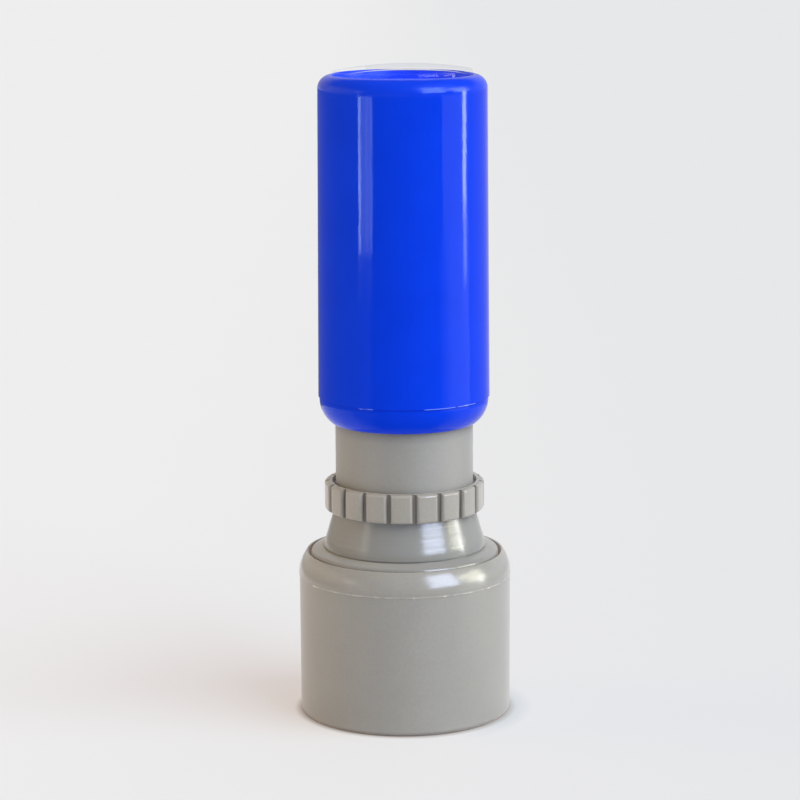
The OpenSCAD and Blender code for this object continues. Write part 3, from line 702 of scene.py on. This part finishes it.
def make_foam(material):
    outline = Outline(0, FOAM_Z + 0.1).steps(FOAM_R - FOAM_EDGE_W, FOAM_Z + 0.05, 8)
    outline.to(FOAM_R - 0.15, FOAM_Z + 0.2, FOAM_ROUND).steps(FOAM_R - 0.05, (FOAM_Z + FOAM_TOP_Z) / 2, 3)
    outline.steps(FOAM_R - 0.15, FOAM_TOP_Z - 0.2, 3)
    outline.corners.append((outline.last, FOAM_ROUND))
    outline.to(FOAM_R - FOAM_EDGE_W, FOAM_TOP_Z - 0.05).steps(0, FOAM_TOP_Z - 0.1, 8)
    bm = outline.turned(SOFT_STEPS)
    for vert in bm.verts:
        r = radius(vert.co)
        if r > 1:
            set_radius([vert], r - worn(vert.co, FOAM_WEAR, FOAM_WEAR_SIZE, FOAM_WEAR_SEED))
    foam = finish_piece(bm, "ink_foam", "plunger", material, ["ink_reservoir"], 60)


def dress_node(name, material):
    """A CAD solid whose shape is already right keeps it and takes a finish."""
    mesh = NODES[name].data
    mesh.materials.clear()
    mesh.materials.append(material)


steel = steel_finish()
inner = inner_finish()
make_dust_cap(cap_finish())
make_base(base_finish())
make_ring(ring_finish())
make_handle(blue_finish())
make_lens(lens_finish())
make_spring(steel)
make_pad(foam_finish("pad_microporous", (0.050, 0.050, 0.058), (0.030, 0.030, 0.036), 0.12, 0.010))
make_foam(foam_finish("foam_inked", (0.020, 0.020, 0.075), (0.006, 0.006, 0.03), 0.5, 0.12))
dress_node("label_card", label_finish())
for part in ("stop_sleeve", "plunger_tube", "pad_holder", "pad_ring"):
    dress_node(part, inner)
for part in ("guide_pins", "handle_screw"):
    dress_node(part, steel)


# Studio: pale floor, soft lights, cards that only the gloss sees, and the camera
CAMERA_AT = Vector((-0.6, -405, 124)) * MM
CAMERA_PITCH_DEG, CAMERA_ROLL_DEG = 10.7, -0.3
LENS_MM = 124.07
CLIP_NEAR_M, CLIP_FAR_M, SENSOR_MM = 0.01, 100, 36
FLOOR_HALF_M, VIEW_HALF = 12.0, 60
# Floor: a painted contact shadow round the cap's foot, a painted shade on the floor to the right of the cap,
# and a glow that falls from left to right
FOOT_SHADE_R, FOOT_LIGHT_R, FOOT_GLOW = 15.4, 16.9, 0.10
SHADE_R, SHADE_END_R, SHADE_FROM_X, SHADE_FULL_X, SHADE_GLOW = 16, 19.5, 8, 15, 0.37
GLOW_LEFT, GLOW_RIGHT = 0.556, 0.496
FLAG_LIFT, FLAG_STEP_DEG = 0.5, 4
WORLD_TURN, WORLD_WARM_X, WORLD_COOL_X = 0.5, -0.9, 0.3
WORLD_WARM, WORLD_COOL = (0.80, 0.66, 0.52, 1), (0.97, 0.99, 1.0, 1)


def flat_mesh(name, corners, material):
    bm = bmesh.new()
    bm.faces.new([bm.verts.new(c) for c in corners])
    mesh = bpy.data.meshes.new(name)
    bm.to_mesh(mesh)
    bm.free()
    mesh.materials.append(material)
    obj = bpy.data.objects.new(name, mesh)
    bpy.context.scene.collection.objects.link(obj)
    return obj


def heading(azimuth):
    """Unit vector on the floor, from the object, that many degrees to the right of the camera."""
    a = math.radians(azimuth)
    return Vector((math.sin(a), -math.cos(a), 0))


def glow(name, colour, strength):
    mat = bpy.data.materials.new(name)
    mat.use_nodes = True
    mat.node_tree.nodes.clear()
    out = mat.node_tree.nodes.new("ShaderNodeOutputMaterial")
    light = mat.node_tree.nodes.new("ShaderNodeEmission")
    light.inputs["Color"].default_value = (*colour, 1)
    light.inputs["Strength"].default_value = strength
    mat.node_tree.links.new(light.outputs["Emission"], out.inputs["Surface"])
    return mat


def gloss_only(obj):
    obj.visible_camera = False
    obj.visible_diffuse = False
    obj.visible_shadow = False
    obj.visible_transmission = False
    obj.visible_volume_scatter = False


def card(name, az0, az1, far, low, high, colour, strength):
    """An upright card between two headings at a distance, from one height to another, in millimetres."""
    a, b = heading(az0) * far * MM, heading(az1) * far * MM
    lift, rise = Vector((0, 0, low * MM)), Vector((0, 0, high * MM))
    corners = [a + lift, b + lift, b + rise, a + rise]
    gloss_only(flat_mesh(name, corners, glow(name + "_glow", colour, strength)))


def floor_flag(name, stops, near, far):
    """A ring of floor, from one radius to another, whose brightness the gloss sees change by heading."""
    bm = bmesh.new()
    level = bm.verts.layers.float.new("level")
    lift = Vector((0, 0, FLAG_LIFT * MM))
    for (az0, level0), (az1, level1) in zip(stops, stops[1:]):
        count = max(1, round((az1 - az0) / FLAG_STEP_DEG))
        for i in range(count):
            ends = []
            for share in (i / count, (i + 1) / count):
                way = heading(az0 + (az1 - az0) * share)
                for reach in (near, far):
                    vert = bm.verts.new(way * reach * MM + lift)
                    vert[level] = level0 + (level1 - level0) * share
                    ends.append(vert)
            bm.faces.new([ends[0], ends[1], ends[3], ends[2]])
    mesh = bpy.data.meshes.new(name)
    bm.to_mesh(mesh)
    bm.free()
    mat = glow(name + "_glow", (1, 1, 1), 1.0)
    tree = mat.node_tree
    amount = tree.nodes.new("ShaderNodeAttribute")
    amount.attribute_name = "level"
    tree.links.new(amount.outputs["Fac"], tree.nodes["Emission"].inputs["Strength"])
    mesh.materials.append(mat)
    obj = bpy.data.objects.new(name, mesh)
    bpy.context.scene.collection.objects.link(obj)
    gloss_only(obj)


def dark_ceiling(name, height, reach, back, colour, strength):
    """A level card high above, so the gloss sees a dim room over the object."""
    corners = [Vector((x, y, height)) * MM for x, y in
               ((-reach, -reach), (reach, -reach), (reach, back), (-reach, back))]
    gloss_only(flat_mesh(name, corners, glow(name + "_glow", colour, strength)))


def soft_light(name, azimuth, elevation, spread, colour, strength):
    """A far soft lamp from a heading and a height, in degrees, which shades but isn't mirrored."""
    lamp = bpy.data.lights.new(name, "SUN")
    lamp.angle = math.radians(spread)
    lamp.color = colour
    lamp.energy = strength
    obj = bpy.data.objects.new(name, lamp)
    up = math.radians(elevation)
    way = heading(azimuth) * math.cos(up) + Vector((0, 0, math.sin(up)))
    obj.rotation_euler = (-way).to_track_quat("-Z", "Y").to_euler()
    obj.visible_glossy = False
    obj.visible_transmission = False
    bpy.context.scene.collection.objects.link(obj)


def make_floor():
    f = Finish("floor_pale", (0.27, 0.38, 0.457), 0.9)
    f.set("Specular IOR Level", 0.0)
    # The floor glows warm over a cool colour of its own, so its shadows come out warm
    f.set("Emission Color", (1.0, 0.796, 0.708, 1))
    spread = f.nodes.new("ShaderNodeVectorMath")
    spread.operation = "LENGTH"
    f.links.new(f.where, spread.inputs[0])
    away = spread.outputs["Value"]
    # Painted contact shadow: near the cap's foot the floor's glow drops and its colour turns grey
    clear = f.span(away, FOOT_SHADE_R * MM, FOOT_LIGHT_R * MM, 0, 1)
    pale = f.blend(f.grain(60, 3), (0.266, 0.376, 0.453), (0.274, 0.384, 0.461))
    f.set("Base Color", f.blend(clear, (0.36, 0.36, 0.36), pale))
    # Painted light: the glow falls from left to right, with a painted shade beside the cap on the right
    across = f.along("X")
    wide = f.span(across, -VIEW_HALF * MM, VIEW_HALF * MM, GLOW_LEFT, GLOW_RIGHT)
    beside = f.span(away, SHADE_R * MM, SHADE_END_R * MM, SHADE_GLOW, wide)
    lit = f.span(f.span(across, SHADE_FROM_X * MM, SHADE_FULL_X * MM, 0, 1), 0, 1, wide, beside)
    f.set("Emission Strength", f.span(clear, 0, 1, FOOT_GLOW, lit))
    corners = [(x * FLOOR_HALF_M, y * FLOOR_HALF_M, 0) for x, y in ((-1, -1), (1, -1), (1, 1), (-1, 1))]
    flat_mesh("floor", corners, f.mat)


def make_world(front, back):
    """Soft light all round, brighter from behind the object than from in front, and warm on the left."""
    world = bpy.data.worlds.new("studio")
    world.use_nodes = True
    tree = world.node_tree
    tree.nodes.clear()
    out = tree.nodes.new("ShaderNodeOutputWorld")
    sky = tree.nodes.new("ShaderNodeBackground")
    way = tree.nodes.new("ShaderNodeTexCoord")
    split = tree.nodes.new("ShaderNodeSeparateXYZ")
    ramp = tree.nodes.new("ShaderNodeMapRange")
    ramp.interpolation_type = "SMOOTHSTEP"
    for socket, number in zip(("From Min", "From Max", "To Min", "To Max"),
                              (-WORLD_TURN, WORLD_TURN, front, back)):
        ramp.inputs[socket].default_value = number
    tree.links.new(way.outputs["Generated"], split.inputs["Vector"])
    tree.links.new(split.outputs["Y"], ramp.inputs["Value"])
    tree.links.new(ramp.outputs["Result"], sky.inputs["Strength"])
    side = tree.nodes.new("ShaderNodeMapRange")
    side.inputs["From Min"].default_value = WORLD_WARM_X
    side.inputs["From Max"].default_value = WORLD_COOL_X
    tree.links.new(split.outputs["X"], side.inputs["Value"])
    tint = tree.nodes.new("ShaderNodeMix")
    tint.data_type = "RGBA"
    ends = [socket for socket in tint.inputs if socket.type == "RGBA"]
    ends[0].default_value = WORLD_WARM
    ends[1].default_value = WORLD_COOL
    tree.links.new(side.outputs["Result"], tint.inputs["Factor"])
    tree.links.new(next(socket for socket in tint.outputs if socket.type == "RGBA"), sky.inputs["Color"])
    tree.links.new(sky.outputs["Background"], out.inputs["Surface"])
    bpy.context.scene.world = world


def make_camera():
    data = bpy.data.cameras.new("camera")
    data.lens = LENS_MM
    data.sensor_width = SENSOR_MM
    data.clip_start = CLIP_NEAR_M
    data.clip_end = CLIP_FAR_M
    obj = bpy.data.objects.new("camera", data)
    turn = Matrix.Rotation(math.radians(90 - CAMERA_PITCH_DEG), 4, "X")
    roll = Matrix.Rotation(math.radians(CAMERA_ROLL_DEG), 4, "Z")
    obj.matrix_world = Matrix.Translation(CAMERA_AT) @ turn @ roll
    bpy.context.scene.collection.objects.link(obj)
    bpy.context.scene.camera = obj


make_floor()
make_world(0.30, 0.70)
soft_light("key_right", 60, 43, 54, (1.0, 0.99, 0.95), 2.3)
soft_light("front", 18, 30, 130, (0.92, 0.97, 1.0), 0.55)
soft_light("low_left", -95, 15, 40, (1.0, 0.62, 0.20), 0.9)
card("window", 28, 61, 900, 190, 900, (0.66, 0.75, 1.0), 13)
card("side_warm", 73, 98, 900, 150, 300, (1.0, 1.0, 0.78), 9)
card("side_warm_high", 65, 98, 905, 300, 560, (1.0, 1.0, 0.78), 8)
card("side_strip_low", 86, 92.5, 355, 20, 40, (1.0, 1.0, 1.0), 6.0)
card("side_strip_high", 86, 92.5, 355, 40, 130, (1.0, 1.0, 1.0), 16)
card("left_band", -56.8, -40.4, 460, 17, 75, (1.0, 1.0, 1.0), 3.2)
card("left_line", -61.4, -57.4, 460, 17, 75, (1.0, 1.0, 1.0), 11)
card("left_hair", -49.8, -47.8, 455, 17, 75, (1.0, 1.0, 1.0), 4.8)
card("left_edge", -44.0, -41.6, 455, 17, 75, (1.0, 1.0, 1.0), 4.6)
card("left_faint", -66, -60.5, 460, 120, 215, (1.0, 0.98, 0.9), 2.8)
card("left_fainter", -58, -55.5, 460, 120, 215, (1.0, 0.98, 0.85), 2.4)
card("left_wall", -125, -56, 700, 100, 330, (1.0, 0.84, 0.68), 0.95)
card("left_block", -68, -34, 62, 15, 32, (1.0, 0.9, 0.8), 0.25)
card("room", -64, 27, 1100, 183, 472, (0.35, 0.55, 1.0), 0.42)
floor_flag("near_flag", [(-75, 0.6), (-43, 0.0), (54, 0.0), (80, 0.8)], 17, 190)
left_stops = [(-170, 0.2), (-43, 0.2), (-42.9, 0.0)]
right_stops = [(97, 1.4), (97.1, 0.45), (135, 0.45), (170, 0.7)]
floor_flag("mid_flag", left_stops + [(46, 0.0), (66, 1.4)] + right_stops, 190, 650)
floor_flag("far_flag", left_stops + [(54, 0.0), (54.1, 1.4)] + right_stops, 650, 3000)
dark_ceiling("ceiling", 1000, 3500, 1300, (1.0, 1.0, 1.0), 0.08)
make_camera()
bpy.context.scene.view_settings.view_transform = "Standard"
